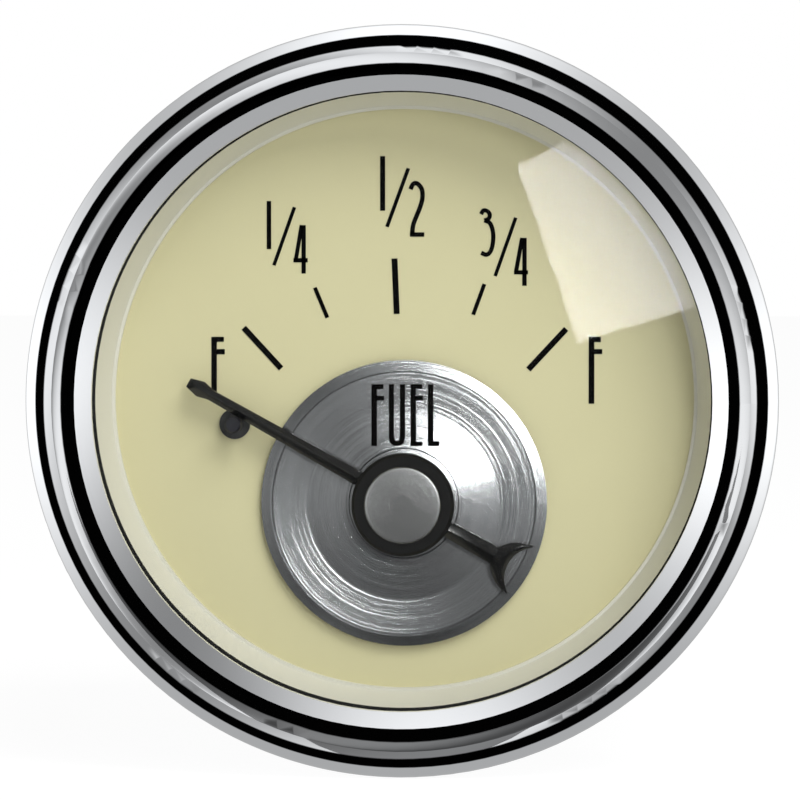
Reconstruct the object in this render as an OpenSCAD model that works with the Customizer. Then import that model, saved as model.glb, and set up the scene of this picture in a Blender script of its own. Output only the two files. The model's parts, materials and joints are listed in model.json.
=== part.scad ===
// Electric fuel gauge for a dashboard, with a rolled bright bezel, a domed glass and a
// pointer that swings on a pivot below the middle of the dial. All sizes are millimetres.
// The origin is on the gauge's axis, in the plane where the bezel meets the panel.
// The face looks along -Y and the case goes back along +Y, with +Z up.

/* [Bezel] */
// Outside diameter of the bezel
bezel_d = 60.3; // [58:0.1:62]
// Height of the bezel in front of the panel
bezel_h = 9.5; // [8.8:0.1:11]
// Width of the bead, from its outside in to its opening
bead_w = 5.3; // [5:0.05:5.5]
// Radius of the bead's front, towards the glass
bead_r = 2.6; // [2.4:0.05:2.9]
// Radius of the bead's outer shoulder
shoulder_r = 2.3; // [2:0.05:2.6]
// Thickness of the bezel metal
bezel_t = 0.7; // [0.5:0.05:0.8]
// Radius of the rolled corner at the rear
roll_r = 1; // [0.9:0.05:1.2]
// Width of the flat lip that meets the panel
lip_w = 2.15; // [1.8:0.05:2.2]
// How far the bezel stands out past the case behind the panel
bezel_over = 4.15; // [4.05:0.05:4.4]

/* [Glass] */
// Thickness of the glass
lens_t = 1.6; // [1.2:0.1:1.8]
// Rise of the dome at the middle of the glass
lens_rise = 2.55; // [1.5:0.05:3]
// How far the flat rim of the glass lies behind the crest of the bezel
rim_drop = 2.5; // [2.3:0.05:2.8]
// How far the flat rim of the glass goes under the bead
lens_lap = 2.2; // [1.6:0.1:2.4]
// Thickness of the gasket under the glass
gasket_t = 0.5; // [0.3:0.05:0.8]
// How far the gasket shows inside the bead
gasket_show = 0.06; // [0.05:0.01:0.2]

/* [Light ring and dial] */
// How far the light ring covers the edge of the dial
ring_cover = 0.7; // [0.6:0.05:1.4]
// Width of the flat edge round the ring's window
ring_land = 0.25; // [0.15:0.05:0.4]
// Thickness of that edge
ring_edge_t = 0.6; // [0.4:0.05:0.8]
// How deep the foot of the light ring goes into the case mouth
ring_foot = 0.5; // [0.3:0.05:0.7]
// Gap between the dial plate and the case wall
dial_gap = 1; // [0.6:0.05:1.4]
// Thickness of the dial plate
dial_t = 0.6; // [0.5:0.05:1]

/* [Printed scale] */
// Length of the empty, half and full marks
long_mark = 4.5; // [3.5:0.05:5]
// Width of the empty, half and full marks
long_mark_w = 0.48; // [0.3:0.02:0.6]
// Length of the quarter marks
short_mark = 2.65; // [2:0.05:3.2]
// Width of the quarter marks
short_mark_w = 0.32; // [0.2:0.02:0.5]
// Distance from the circle that the pointer's tip draws in to the middle of the half mark
scale_inset = 2.4; // [1.6:0.05:3]
// How much nearer to the pivot the empty and full marks lie
end_mark_shift = 0.55; // [0:0.05:1]
// Angle of the empty mark, anticlockwise from three o'clock
empty_angle = 132.6; // [131:0.1:136]
// Angle of the quarter mark
quarter_angle = 112.6; // [110:0.1:115]
// Angle of the half mark
half_angle = 92.3; // [89:0.1:94]
// Angle of the three-quarter mark
three_quarter_angle = 69.9; // [67:0.1:72]
// Angle of the full mark
full_angle = 47.1; // [44:0.1:50]
// Thickness of the print
print_t = 0.04; // [0.02:0.01:0.08]

/* [Centre disc] */
// Room between the heads of the dial screws and the rim of the disc
disc_room = 0.24; // [0.08:0.02:0.8]
// Height of the disc above the dial
disc_h = 0.9; // [0.8:0.05:1.1]
// Width of the bevelled edge
disc_bevel = 0.8; // [0.5:0.05:0.9]
// Slope of the bevelled edge, in degrees
disc_bevel_slope = 14; // [8:1:30]
// Thickness of the disc metal
disc_t = 0.35; // [0.25:0.05:0.4]
// Outside diameter of the collar round the hub
collar_d = 9; // [8.4:0.1:9.6]
// Inside diameter of the collar
collar_bore = 6.4; // [5.6:0.1:7]
// Height of the collar above the disc
collar_h = 0.25; // [0.15:0.05:0.4]

/* [Pointer] */
// How far the pivot lies below the middle of the dial
pivot_drop = 8.45; // [7.9:0.05:8.8]
// Angle of the pointer at rest, anticlockwise from three o'clock
rest_angle = 150.6; // [148:0.1:152]
// Length of the pointer from the pivot to the tip
pointer_len = 20; // [18.5:0.1:21]
// Width of the arm beside the hub
arm_root_w = 1.2; // [0.9:0.02:1.3]
// Width of the arm before the head
arm_neck_w = 0.86; // [0.6:0.02:0.9]
// Greatest width of the head
head_w = 1.35; // [1.1:0.05:1.6]
// Length of the head from its shoulder to the tip
head_len = 1.1; // [1:0.05:1.8]
// Length of the flare from the neck to the shoulder
flare_len = 0.95; // [0.5:0.05:1.2]
// Width of the blunt tip
tip_w = 0.75; // [0.4:0.05:0.8]
// Height of the blunt tip
tip_h = 0.5; // [0.3:0.05:0.7]
// Height of the ridge above the underside of the arm
arm_t = 1; // [0.8:0.05:1.2]
// Height of the arm's sides beside the hub
arm_side = 0.45; // [0.35:0.05:0.6]
// Distance from the pivot to the horn tips of the tail
horn_reach = 10.85; // [10.7:0.05:11]
// Distance between the horn tips
horn_span = 4.45; // [4.3:0.05:4.6]
// Radius of the hollow in the end of the tail
hollow_r = 2.55; // [2.4:0.05:2.7]
// Distance from the pivot to the bottom of the hollow
hollow_reach = 9.75; // [9.6:0.05:9.85]
// Distance from the pivot to where the outer edges of the horns meet
crescent_reach = 8.1; // [7.9:0.05:8.3]
// Radius of the outer edge of a horn
flank_r = 3.16; // [2.9:0.02:3.5]
// Width of the tail's stem beside the hub
stem_root_w = 1.34; // [1.2:0.02:1.5]
// Width of the tail's stem where it meets the horns
stem_end_w = 1.5; // [1.4:0.02:1.6]
// Diameter of the hub
hub_d = 8.3; // [7.6:0.1:8.6]
// Height of the hub above the arm's root plate
hub_h = 1.6; // [1.4:0.05:1.8]
// Thickness of the arm's root plate
root_t = 0.5; // [0.4:0.05:0.6]
// Diameter of the metal cap
cap_d = 6.2; // [5.4:0.1:6.4]
// Height of the cap above the hub
cap_rise = 0.3; // [0.2:0.05:0.4]
// Diameter of the spindle
spindle_d = 1; // [0.8:0.05:1.2]

/* [Stop pin] */
// Diameter of the stop post
post_pin_d = 1.34; // [1.2:0.02:1.4]
// Diameter of the flange on the dial
pin_flange_d = 2.5; // [2:0.1:2.6]
// Distance from the circle that the pointer's tip draws in to the stop post
pin_inset = 4.8; // [4.2:0.1:5.4]
// Height of the stop post above the dial
pin_h = 3; // [2.8:0.1:3.4]

/* [Case] */
// Thickness of the case metal
case_t = 0.8; // [0.6:0.05:1]
// Depth of the case behind the panel
case_depth = 32; // [31:0.5:36]
// Radius of the case's rear corner
case_corner = 1.5; // [1:0.1:2]

/* [Movement] */
// Diameter of the rotor magnet
rotor_d = 9; // [8:0.1:9.4]
// Thickness of the rotor magnet
rotor_t = 4; // [3.5:0.1:4.4]
// Side of the square bobbin
bobbin_w = 16; // [15.6:0.1:16.6]
// Thickness of both halves of the bobbin together
bobbin_t = 12; // [11.6:0.1:12.6]
// Thickness of a winding
coil_t = 1.5; // [1.2:0.05:1.6]
// Width of a winding
coil_w = 2.9; // [2.4:0.05:3]
// Outside diameter of a bearing
bearing_d = 3.2; // [2.8:0.05:3.6]
// Room between a bearing and the windings on both sides of it
bearing_room = 0.1; // [0.05:0.05:0.3]
// Thickness of the shield can
can_t = 0.5; // [0.4:0.05:0.7]
// Depth of the shield can
can_depth = 20; // [16:0.5:22]
// Diameter of the posts that carry the dial
dial_post_d = 2.8; // [2.4:0.1:2.9]
// Diameter of the dial screws
dial_screw_d = 1.4; // [1.2:0.05:1.6]
// Diameter of the heads of the dial screws
dial_head_d = 2.6; // [2.2:0.1:2.7]
// Diameter of the movement screws
move_screw_d = 1.8; // [1.5:0.05:2]
// Thickness of the circuit board
board_t = 1.6; // [1.2:0.1:2]
// Gap between the circuit board and the case wall
board_gap = 1.2; // [0.8:0.1:1.6]

/* [Terminals] */
// Diameter of a terminal stud
term_d = 4.16; // [3.8:0.02:4.3]
// Distance of a terminal from the case wall
term_edge = 5.35; // [5.2:0.05:5.8]
// Angle of a terminal above or below the level of the middle
term_angle = 38; // [36:0.5:41]
// Length of a terminal stud behind the case
term_len = 13; // [10:0.5:16]
// Distance across the flats of a terminal nut
term_nut_af = 8.7; // [8.2:0.1:8.8]
// Thickness of a terminal nut
term_nut_t = 2.6; // [2:0.1:3.2]
// Thickness of an insulating washer
insulator_t = 1; // [0.7:0.1:1.3]
// Thickness of the head of a terminal stud
term_head_t = 1.6; // [1.3:0.1:1.8]

/* [Mounting] */
// Diameter of a mounting stud
stud_d = 4.83; // [4.4:0.01:5]
// Distance of a mounting stud from the outside of the case
stud_edge = 9; // [8.6:0.1:9.4]
// Length of a mounting stud behind the case
stud_len = 18; // [17.5:0.5:22]
// Distance across the flats of a mounting nut
nut_af = 9.53; // [9:0.01:9.8]
// Thickness of a bracket nut
nut_t = 3.2; // [2.6:0.1:3.4]
// Thickness of a stud nut
stud_nut_t = 2.5; // [2:0.1:3]
// Thickness of a lock washer
washer_t = 0.9; // [0.6:0.05:1]
// Width of the bracket strip
bracket_w = 14; // [12.5:0.1:14.4]
// Thickness of the bracket strip
bracket_t = 1.2; // [1:0.1:1.3]
// Gap between the case barrel and a bracket leg
leg_gap = 1.3; // [1:0.1:1.5]
// Distance of the bracket's feet behind the panel face
foot_back = 7; // [6.6:0.1:7.4]
// Gap between the stud nuts and the bracket's cross bar
bar_gap = 5.5; // [5.4:0.1:5.8]
// Inside radius of the bracket's bends
bend_r = 2.2; // [1.8:0.1:3]

/* [Lamp] */
// Distance of the lamp from the case wall
lamp_edge = 11.2; // [10.8:0.1:11.4]
// Diameter of the lamp socket's barrel
lamp_d = 9.8; // [9:0.1:10.2]
// Diameter of the lamp socket's flange
lamp_flange_d = 12.4; // [11.6:0.1:12.6]
// Thickness of the lamp socket's flange
lamp_flange_t = 1.5; // [1.2:0.1:2]
// Length of the lamp socket's grip
lamp_grip = 6; // [5:0.5:7]
// Diameter of the bulb
bulb_d = 6.8; // [6:0.1:7.2]
// Length of the bulb beyond its socket
bulb_len = 10; // [8:0.5:11]

/* [Hidden] */

$fn = 96;
// Fit of a turning shaft in its bearing, on the radius
run_fit = 0.04;
// Fit of a fixed pin or screw in its hole, on the radius
set_fit = 0.02;
// Loose fit of a bolt in its hole, on the radius
bolt_fit = 0.3;
// Room between pieces that pass each other
part_gap = 0.3;
// Thin gap between faces that meet but move apart
face_gap = 0.05;
// How far a cutter runs past what it cuts
over = 1;
// Slope of the bead where it runs down to the glass
bead_slope = 42;

// Radii and heights of the front, measured forwards from the panel
bezel_r = bezel_d / 2;
skirt_in = bezel_r - bezel_t;
crest_r = bezel_r - shoulder_r;
bead_in = bezel_r - bead_w;
rim_z = bezel_h - rim_drop;
lip_out = bezel_r - roll_r;
lip_in = lip_out - lip_w;
lens_r = bead_in + lens_lap;
dome_r = (bead_in * bead_in + lens_rise * lens_rise) / (2 * lens_rise);
lens_back = rim_z - lens_t;
ring_top = lens_back - gasket_t;
flange_top = bezel_t + case_t;
ring_r = lip_out - face_gap;
ring_wall = 1;
dial_top = flange_top - ring_foot;
dial_back = dial_top - dial_t;

// Radii and depth of the case, and what lies against its wall
barrel_r = bezel_r - bezel_over;
case_in = barrel_r - case_t;
back_z = -case_depth;
back_in = back_z + case_t;
dial_r = case_in - dial_gap;
window_r = dial_r - ring_cover;
board_r = case_in - board_gap;
lamp_y = case_in - lamp_edge;
stud_x = barrel_r - stud_edge;

// Places on the circles round the pivot
scale_r = pointer_len - scale_inset;
pin_reach = pointer_len - pin_inset;

// Heights over the dial, round the pivot
disc_top = dial_top + disc_h;
collar_top = disc_top + collar_h;
arm_z = collar_top + part_gap;
hub_z = arm_z + root_t;
hub_top = hub_z + hub_h;
cap_seat = 0.4;
cap_floor = hub_top - cap_seat;
hub_boss_wall = 1;
hub_boss_d = spindle_d + 2 * hub_boss_wall;
pin_step = 0.15;
pin_stem_d = post_pin_d - 2 * pin_step;

// Levels of the movement, from the circuit board forwards
board_back = back_in + insulator_t + term_head_t;
board_front = board_back + board_t;
can_floor = board_front + can_t;
coil_room = 2 * coil_t + part_gap;
block_rear = can_floor + coil_room;
block_front = block_rear + bobbin_t;
block_mid = (block_rear + block_front) / 2;
horn_top = block_front + coil_room;
rotor_room = 0.5;
coil_split = bearing_d + 2 * bearing_room;
corner_in = coil_split / 2 + coil_w + part_gap;
corner_at = (corner_in + bobbin_w / 2) / 2;
can_room = 0.4;
can_in = bobbin_w / sqrt(2) + can_room;
bearing_wall = 0.7;
bearing_bite = 2;
screw_end_room = 1;
dial_screw_bite = 2.5;
move_screw_bite = 1.5;

// The disc covers the dial screws, and its rim stands outside their heads
disc_rim_w = disc_bevel + 0.15;
disc_r = corner_at * sqrt(2) + dial_head_d / 2 + disc_room + disc_rim_w;

// Terminals and their stacks, backwards from the case
term_angles = [180 + term_angle, -term_angle, 180 - term_angle];
term_r = case_in - term_edge;
sleeve_t = 1;
term_hole = term_d + 2 * sleeve_t;
term_washer_z = back_z - insulator_t;
term_nut_z = term_washer_z - washer_t;
term_nut_end = term_nut_z - term_nut_t;
stub_d = 2;

// Washers and heads stand out this far past the hole or shank that they cover
washer_over = 1.9;
stud_head_over = 1.4;
insulator_over = 1.2;
term_head_over = 1.1;

// Resistor on the circuit board
resistor_r = board_r - 5.56;
resistor_angle = 40.6;
resistor_d = 3.2;
resistor_half = 4.2;
lead_d = 0.7;
lead_x = resistor_half + 1.3;

// Flat contacts of the lamp socket
contact_y = 2.2;
contact_w = 3;
contact_t = 0.5;
contact_tail = 6;

// Depth of the lamp socket's barrel inside the case
lamp_barrel = 6;
lamp_floor = back_in + 1;
bulb_base = 5;
lamp_grip_z = back_z - face_gap - lamp_flange_t;

// Mounting studs and the bracket, backwards from the case
stud_nut_end = back_z - stud_nut_t;
bar_front = stud_nut_end - bar_gap;
bar_back = bar_front - bracket_t;
bracket_nut_z = bar_back - washer_t - face_gap;
leg_in = barrel_r + leg_gap;
leg_out = leg_in + bracket_t;

// Turns the drawing frame, with z towards the viewer, into the part's frame
module facing() {
    rotate([90, 0, 0]) children();
}

module at_pivot() {
    translate([0, -pivot_drop, 0]) children();
}

// Disc or pin from level z0 up to level z1
module drum(d, z0, z1) {
    translate([0, 0, z0]) cylinder(d = d, h = z1 - z0);
}

// Round washer from level z0 up to level z1
module washer(d, bore, z0, z1) {
    difference() {
        drum(d, z0, z1);
        drum(bore, z0 - over, z1 + over);
    }
}

// Hexagon nut with chamfered corners, from level z0 up to level z1
module hex_nut(af, bore, z0, z1) {
    chamfer = 0.45;
    corner_r = af / sqrt(3);
    difference() {
        intersection() {
            translate([0, 0, z0]) cylinder(r = corner_r, h = z1 - z0, $fn = 6);
            rotate_extrude()
                polygon([[0, z0], [af / 2, z0], [corner_r + 0.05, z0 + chamfer],
                         [corner_r + 0.05, z1 - chamfer], [af / 2, z1], [0, z1]]);
        }
        drum(bore, z0 - over, z1 + over);
    }
}

// Stud or screw with a chamfered end, pointing backwards from z_head to z_end
module shank(d, z_head, z_end) {
    chamfer = 0.4;
    rotate_extrude()
        polygon([[0, z_head], [d / 2, z_head], [d / 2, z_end + chamfer],
                 [d / 2 - chamfer, z_end], [0, z_end]]);
}

module at_terminals() {
    for (a = term_angles) translate([term_r * cos(a), term_r * sin(a), 0]) children();
}

module at_studs() {
    for (side = [-1, 1]) translate([side * stud_x, 0, 0]) children();
}

// Two opposite corners of the bobbin, with turn 1 or -1 to choose the pair
module at_corner_pair(turn) {
    for (side = [-1, 1]) translate([side * corner_at, side * turn * corner_at, 0]) children();
}

// Outline of the bezel's section, drawn in by inset, and reaching in to radius from_r
// behind the bead
module bezel_fill(inset, from_r) {
    front_r = bead_r - inset;
    slope_r = crest_r - front_r * sin(bead_slope);
    slope_z = bezel_h - bead_r + front_r * cos(bead_slope);
    // outer shoulder
    translate([crest_r, bezel_h - shoulder_r]) circle(r = shoulder_r - inset);
    // front curve
    intersection() {
        translate([crest_r, bezel_h - bead_r]) circle(r = front_r);
        translate([crest_r - bead_r, bezel_h - 2 * bead_r]) square([bead_r, 2 * bead_r]);
    }
    // straight slope down to the glass
    polygon([[crest_r, slope_z], [slope_r, slope_z],
             [slope_r - (slope_z - rim_z) / tan(bead_slope), rim_z], [crest_r, rim_z]]);
    // skirt, rolled rear corner and flat lip
    translate([from_r, roll_r]) square([bezel_r - inset - from_r, bezel_h - shoulder_r - roll_r]);
    translate([lip_out, roll_r]) circle(r = roll_r - inset);
    translate([from_r, inset]) square([lip_out - from_r, roll_r]);
}

module bezel() {
    facing() color("silver") rotate_extrude($fn = 180) difference() {
        bezel_fill(0, lip_in);
        bezel_fill(bezel_t, lip_in - over);
        // opening, and the room for the glass and the light ring
        square([bead_in, bezel_h + over]);
        translate([bead_in - over, bezel_t]) square([skirt_in - bead_in + over, rim_z - bezel_t]);
    }
}

module lens() {
    shoulder = 0.4;
    facing() color([0.85, 0.9, 0.9, 0.35]) rotate_extrude($fn = 180) {
        intersection() {
            translate([0, rim_z + lens_rise - dome_r]) difference() {
                circle(r = dome_r, $fn = 720);
                circle(r = dome_r - lens_t, $fn = 720);
            }
            translate([0, ring_top]) square([bead_in - face_gap, bezel_h]);
        }
        translate([bead_in - shoulder, lens_back]) square([lens_lap + shoulder, lens_t]);
    }
}

// Ring of rubber with a thin lip that shows inside the bead
module lens_gasket() {
    facing() color("dimgray") rotate_extrude($fn = 180)
        polygon([[bead_in - gasket_show, ring_top], [lens_r, ring_top], [lens_r, lens_back],
                 [bead_in + part_gap, lens_back], [bead_in + part_gap, ring_top + gasket_t / 2],
                 [bead_in - gasket_show, ring_top + gasket_t / 2]]);
}

module light_ring() {
    facing() color([0.85, 0.84, 0.76]) rotate_extrude($fn = 180)
        polygon([[window_r, dial_top], [case_in - part_gap, dial_top],
                 [case_in - part_gap, flange_top], [ring_r, flange_top],
                 [ring_r, lens_back + lens_t / 2], [lens_r + ring_wall / 2, lens_back + lens_t / 2],
                 [lens_r + face_gap, lens_back + lens_t / 2], [lens_r + face_gap, ring_top],
                 [bead_in, ring_top], [window_r + ring_land, dial_top + ring_edge_t],
                 [window_r, dial_top + ring_edge_t]]);
}

module dial_plate() {
    facing() color([0.85, 0.83, 0.66]) difference() {
        drum(2 * dial_r, dial_back, dial_top);
        at_pivot() {
            drum(hub_boss_d, dial_back - over, dial_top + over);
            at_corner_pair(1) drum(dial_screw_d + 2 * set_fit, dial_back - over, dial_top + over);
            rotate([0, 0, pin_angle()]) translate([pin_reach, 0, 0])
                drum(pin_stem_d + 2 * set_fit, dial_back - over, dial_top + over);
        }
    }
}

// One printed mark, centred at radius r and angle a from the pivot
module mark(a, r, length, width) {
    rotate([0, 0, a]) translate([r - length / 2, -width / 2, dial_top])
        cube([length, width, print_t]);
}

module scale_marks() {
    facing() color("black") at_pivot() {
        mark(half_angle, scale_r, long_mark, long_mark_w);
        for (a = [empty_angle, full_angle]) mark(a, scale_r - end_mark_shift, long_mark, long_mark_w);
        for (a = [quarter_angle, three_quarter_angle]) mark(a, scale_r, short_mark, short_mark_w);
    }
}

module center_disc() {
    groove = 0.12;
    collar_edge = 0.1;
    hollow_top = disc_top - disc_t;
    facing() color("lightsteelblue") at_pivot() rotate_extrude($fn = 120) difference() {
        polygon([[collar_bore / 2, hollow_top], [disc_r - disc_rim_w, hollow_top],
                 [disc_r - disc_rim_w, dial_top], [disc_r, dial_top],
                 [disc_r, disc_top - disc_bevel * tan(disc_bevel_slope)],
                 [disc_r - disc_bevel, disc_top],
                 [collar_d / 2, disc_top], [collar_d / 2 - collar_edge, collar_top],
                 [collar_bore / 2, collar_top]]);
        translate([disc_r - disc_bevel - 1.5 * groove, disc_top - groove])
            square([groove, over]);
    }
}

// Half width of the arm where it passes the stop post
function arm_half_at(r) = (arm_root_w + (arm_neck_w - arm_root_w) * (r - hub_d / 2)
    / (pointer_len - head_len - flare_len - hub_d / 2)) / 2;

// Angle at which the stop post stands, so that the resting arm just clears it
function pin_angle() = rest_angle
    + asin((arm_half_at(pin_reach) + post_pin_d / 2 + face_gap) / pin_reach);

module stop_pin() {
    flange_t = 0.45;
    chamfer = 0.15;
    facing() color("dimgray") at_pivot() rotate([0, 0, pin_angle()]) translate([pin_reach, 0, 0])
        rotate_extrude($fn = 48)
            polygon([[0, dial_back], [pin_stem_d / 2, dial_back], [pin_stem_d / 2, dial_top],
                     [pin_flange_d / 2, dial_top], [pin_flange_d / 2, dial_top + flange_t],
                     [post_pin_d / 2, dial_top + flange_t], [post_pin_d / 2, dial_top + pin_h - chamfer],
                     [post_pin_d / 2 - chamfer, dial_top + pin_h], [0, dial_top + pin_h]]);
}

// Bar along x whose top slopes down to both sides from a ridge at height arm_t
module roof(x0, x1, half, side) {
    translate([x0, 0, 0]) rotate([90, 0, 90]) linear_extrude(height = x1 - x0)
        polygon([[-half, 0], [half, 0], [half, side], [0, arm_t], [-half, side]]);
}

module arm_outline() {
    shoulder_x = pointer_len - head_len;
    neck_x = shoulder_x - flare_len;
    root_x = hub_d / 2 + face_gap;
    polygon([[root_x, -arm_root_w / 2], [neck_x, -arm_neck_w / 2], [shoulder_x, -head_w / 2],
             [pointer_len, -tip_w / 2], [pointer_len, tip_w / 2], [shoulder_x, head_w / 2],
             [neck_x, arm_neck_w / 2], [root_x, arm_root_w / 2]]);
}

// Round outer edge of one horn, whose face slopes inwards above the arm's side
module horn_flank(side, inset) {
    half = horn_span / 2;
    chord_x = horn_reach - crescent_reach;
    chord = sqrt(chord_x ^ 2 + half ^ 2);
    stand = sqrt(flank_r ^ 2 - (chord / 2) ^ 2);
    translate([-(crescent_reach + horn_reach) / 2 - stand * half / chord,
               side * (half / 2 - stand * chord_x / chord), 0]) {
        cylinder(r = flank_r, h = arm_side);
        translate([0, 0, arm_side])
            cylinder(r1 = flank_r, r2 = flank_r - inset, h = arm_t - arm_side);
    }
}

// Two horns that end the tail, with a round hollow between them and a ridge along each
module tail_horns(slope) {
    half = horn_span / 2;
    rise = arm_t - arm_side;
    inset = rise / slope;
    difference() {
        intersection() {
            horn_flank(1, inset);
            horn_flank(-1, inset);
            translate([-horn_reach, -half - over, -over])
                cube([horn_reach, horn_span + 2 * over, arm_t + 2 * over]);
        }
        translate([-(hollow_reach + hollow_r), 0, -over]) cylinder(r = hollow_r, h = arm_t + 2 * over);
        translate([-(hollow_reach + hollow_r), 0, arm_side])
            cylinder(r1 = hollow_r, r2 = hollow_r + inset * (rise + over) / rise, h = rise + over);
    }
}

module stem_outline() {
    end_x = -crescent_reach - 0.4;
    polygon([[end_x, -stem_end_w / 2], [-hub_d / 2 - face_gap, -stem_root_w / 2],
             [-hub_d / 2 - face_gap, stem_root_w / 2], [end_x, stem_end_w / 2]]);
}

module pointer_arm() {
    slope = (arm_t - arm_side) / arm_root_w;
    tail_slope = 2 * (arm_t - arm_side) / stem_end_w;
    root_inset = 0.2;
    half = max(head_w, arm_root_w);
    root_x = hub_d / 2 + face_gap;
    root_d = hub_d - 2 * root_inset;
    lap = 0.4;
    facing() color([0.15, 0.15, 0.15]) at_pivot() rotate([0, 0, rest_angle])
        translate([0, 0, arm_z]) {
            difference() {
                union() {
                    cylinder(d = root_d, h = root_t);
                    translate([-crescent_reach - lap, -arm_root_w / 2, 0])
                        cube([crescent_reach + root_x + 2 * lap, arm_root_w, root_t]);
                }
                translate([0, 0, -over]) cylinder(d = hub_boss_d + 2 * set_fit, h = root_t + 2 * over);
            }
            // front arm and head, whose ridge slopes down to the tip
            intersection() {
                linear_extrude(height = arm_t) arm_outline();
                roof(0, pointer_len + over, half, arm_t - 2 * slope * half);
                rotate([90, 0, 0]) linear_extrude(height = 2 * half, center = true)
                    polygon([[0, 0], [pointer_len, 0], [pointer_len, tip_h],
                             [pointer_len - 0.7 * head_len, arm_t], [0, arm_t]]);
            }
            // tail stem
            intersection() {
                linear_extrude(height = arm_t) stem_outline();
                roof(-horn_reach, 0, stem_end_w / 2, arm_t - tail_slope * stem_end_w / 2);
            }
            tail_horns(tail_slope);
        }
}

module pointer_hub() {
    edge = 0.25;
    boss_z = dial_top + 0.3;
    facing() color([0.1, 0.1, 0.1]) at_pivot() rotate_extrude()
        polygon([[spindle_d / 2, boss_z], [hub_boss_d / 2, boss_z], [hub_boss_d / 2, hub_z],
                 [hub_d / 2, hub_z], [hub_d / 2, hub_top - edge], [hub_d / 2 - edge, hub_top],
                 [cap_d / 2 + set_fit, hub_top], [cap_d / 2 + set_fit, cap_floor],
                 [spindle_d / 2, cap_floor]]);
}

module pointer_cap() {
    edge = 0.1;
    facing() color("gainsboro") at_pivot() rotate_extrude()
        polygon([[0, cap_floor], [cap_d / 2, cap_floor],
                 [cap_d / 2, hub_top + cap_rise * 0.8 - edge],
                 [cap_d / 2 - edge, hub_top + cap_rise * 0.8], [0, hub_top + cap_rise]]);
}

module spindle() {
    facing() color("silver") at_pivot()
        drum(spindle_d, can_floor + bearing_wall + part_gap + face_gap, cap_floor - face_gap);
}

module rotor_magnet() {
    facing() color("darkslategray") at_pivot()
        washer(rotor_d, spindle_d, block_mid - rotor_t / 2, block_mid + rotor_t / 2);
}

module front_bearing() {
    facing() color("goldenrod") at_pivot()
        washer(bearing_d, spindle_d + 2 * run_fit, block_front - bearing_bite, horn_top);
}

module rear_bearing() {
    floor_z = can_floor + part_gap;
    facing() color("goldenrod") at_pivot() difference() {
        drum(bearing_d, floor_z, block_rear + bearing_bite);
        drum(spindle_d + 2 * run_fit, floor_z + bearing_wall, block_rear + bearing_bite + over);
    }
}

// Half of the bobbin: block from level z0 to z1, with corner legs from there to z2
module bobbin_half(z0, z1, z2) {
    corner_w = bobbin_w / 2 - corner_in;
    translate([0, 0, min(z0, z1)])
        linear_extrude(height = abs(z1 - z0)) square(bobbin_w, center = true);
    translate([0, 0, min(z1, z2)]) linear_extrude(height = abs(z2 - z1))
        for (sx = [-1, 1], sy = [-1, 1])
            translate([sx * corner_at, sy * corner_at]) square(corner_w, center = true);
}

module rotor_chamber() {
    drum(rotor_d + 2 * rotor_room, block_mid - rotor_t / 2 - rotor_room,
         block_mid + rotor_t / 2 + rotor_room);
}

module bobbin_front() {
    facing() color("ivory") at_pivot() difference() {
        bobbin_half(block_mid, block_front, horn_top);
        rotor_chamber();
        drum(spindle_d + 2 * part_gap, block_mid, horn_top);
        drum(bearing_d + 2 * set_fit, block_front - bearing_bite, horn_top);
        at_corner_pair(1)
            drum(dial_screw_d + 2 * set_fit, block_front - screw_end_room, horn_top + over);
    }
}

module bobbin_rear() {
    facing() color("ivory") at_pivot() difference() {
        bobbin_half(block_mid, block_rear, can_floor);
        rotor_chamber();
        drum(spindle_d + 2 * part_gap, block_rear, block_mid);
        drum(bearing_d + 2 * set_fit, can_floor, block_rear + bearing_bite);
        at_corner_pair(-1)
            drum(move_screw_d + 2 * set_fit, can_floor - over, block_rear + move_screw_bite + part_gap);
    }
}

// Pair of windings that lie side by side round the bobbin, in the y-z plane
module winding_pair(lift) {
    inner_w = bobbin_w + 2 * set_fit;
    for (side = [-1, 1])
        translate([side * (coil_split + coil_w) / 2, 0, block_mid]) rotate([0, 90, 0])
            linear_extrude(height = coil_w, center = true) difference() {
                square([bobbin_t + 2 * lift + 2 * coil_t, inner_w + 2 * coil_t], center = true);
                square([bobbin_t + 2 * lift, inner_w], center = true);
            }
}

module coil_inner() {
    facing() color("peru") at_pivot() winding_pair(set_fit);
}

module coil_outer() {
    facing() color("sienna") at_pivot() rotate([0, 0, 90]) winding_pair(coil_t + 2 * set_fit);
}

module shield_can() {
    facing() color("slategray") at_pivot() difference() {
        drum(2 * (can_in + can_t), board_front, board_front + can_depth);
        drum(2 * can_in, can_floor, board_front + can_depth + over);
        at_corner_pair(-1) drum(move_screw_d + 2 * set_fit, board_front - over, can_floor + over);
    }
}

module dial_posts() {
    facing() color("goldenrod") at_pivot() at_corner_pair(1) {
        difference() {
            drum(dial_post_d, horn_top, dial_back);
            drum(dial_screw_d + 2 * set_fit, dial_back - dial_screw_bite - part_gap, dial_back + over);
        }
        drum(dial_screw_d, block_front - screw_end_room + part_gap, horn_top + over);
    }
}

module dial_screws() {
    head_t = 0.4;
    facing() color("silver") at_pivot() at_corner_pair(1) {
        drum(dial_screw_d, dial_back - dial_screw_bite, dial_top + head_t);
        drum(dial_head_d, dial_top, dial_top + head_t);
    }
}

module movement_screws() {
    head_t = 0.9;
    facing() color("silver") at_pivot() at_corner_pair(-1) {
        drum(move_screw_d, board_back - head_t, block_rear + move_screw_bite);
        drum(2 * move_screw_d, board_back - head_t, board_back);
    }
}

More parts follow.
